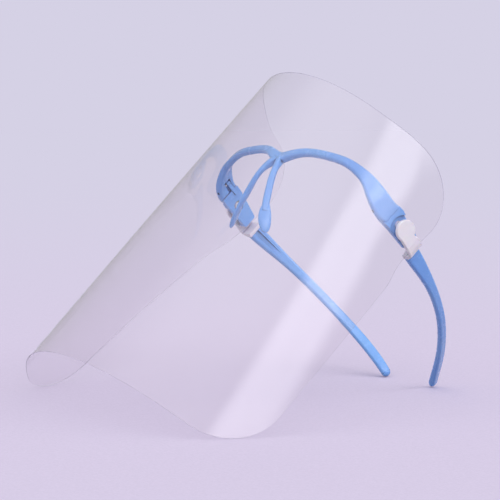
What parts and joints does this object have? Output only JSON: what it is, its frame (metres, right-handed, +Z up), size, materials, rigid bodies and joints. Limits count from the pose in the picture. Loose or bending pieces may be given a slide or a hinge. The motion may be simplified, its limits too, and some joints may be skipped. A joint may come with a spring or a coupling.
{
  "type": "face shield",
  "caption": "Clear wrap-around face shield on a spectacle frame whose arms fold and tilt, worn over the face against splashes.",
  "frame": {"origin": "centre of the standing footprint, on the surface the shield stands on", "axes": "standing on the sheet's lower corners and the arm tips: +Z up, +Y from the sheet's front towards the arm tips, +X to the wearer's left"},
  "size_m": [0.1778, 0.1978, 0.1539],
  "materials": {
    "clear_sheet": "clear, polished",
    "blue_plastic": "moulded, semi-gloss",
    "white_plastic": "moulded, semi-gloss",
    "pin_steel": "satin"
  },
  "bodies": {
    "front": {"front_frame": "blue_plastic", "visor": "clear_sheet", "left_hinge_pin": "pin_steel", "right_hinge_pin": "pin_steel"},
    "left_side": {"left_hinge_bracket": "blue_plastic"},
    "left_arm": {"left_temple_connector": "white_plastic", "left_temple": "blue_plastic"},
    "right_side": {"right_hinge_bracket": "blue_plastic"},
    "right_arm": {"right_temple_connector": "white_plastic", "right_temple": "blue_plastic"}
  },
  "joints": [
    {"name": "left_fold", "type": "hinge", "parent": "front", "child": "left_side", "pos_m": [0.0658, 0.03083, 0.09658], "axis": [0, 0.726, 0.6877], "range_deg": [0, 67], "deforming": ["visor"]},
    {"name": "left_tilt", "type": "hinge", "parent": "left_side", "child": "left_arm", "pos_m": [0.07, 0.03846, 0.08576], "axis": [1, 0, 0], "range_deg": [-10, 8]},
    {"name": "right_fold", "type": "hinge", "parent": "front", "child": "right_side", "pos_m": [-0.0658, 0.03083, 0.09658], "axis": [0, -0.726, -0.6877], "range_deg": [0, 49], "deforming": ["visor"]},
    {"name": "right_tilt", "type": "hinge", "parent": "right_side", "child": "right_arm", "pos_m": [-0.07, 0.03846, 0.08576], "axis": [1, 0, 0], "range_deg": [-10, 8]}
  ]
}
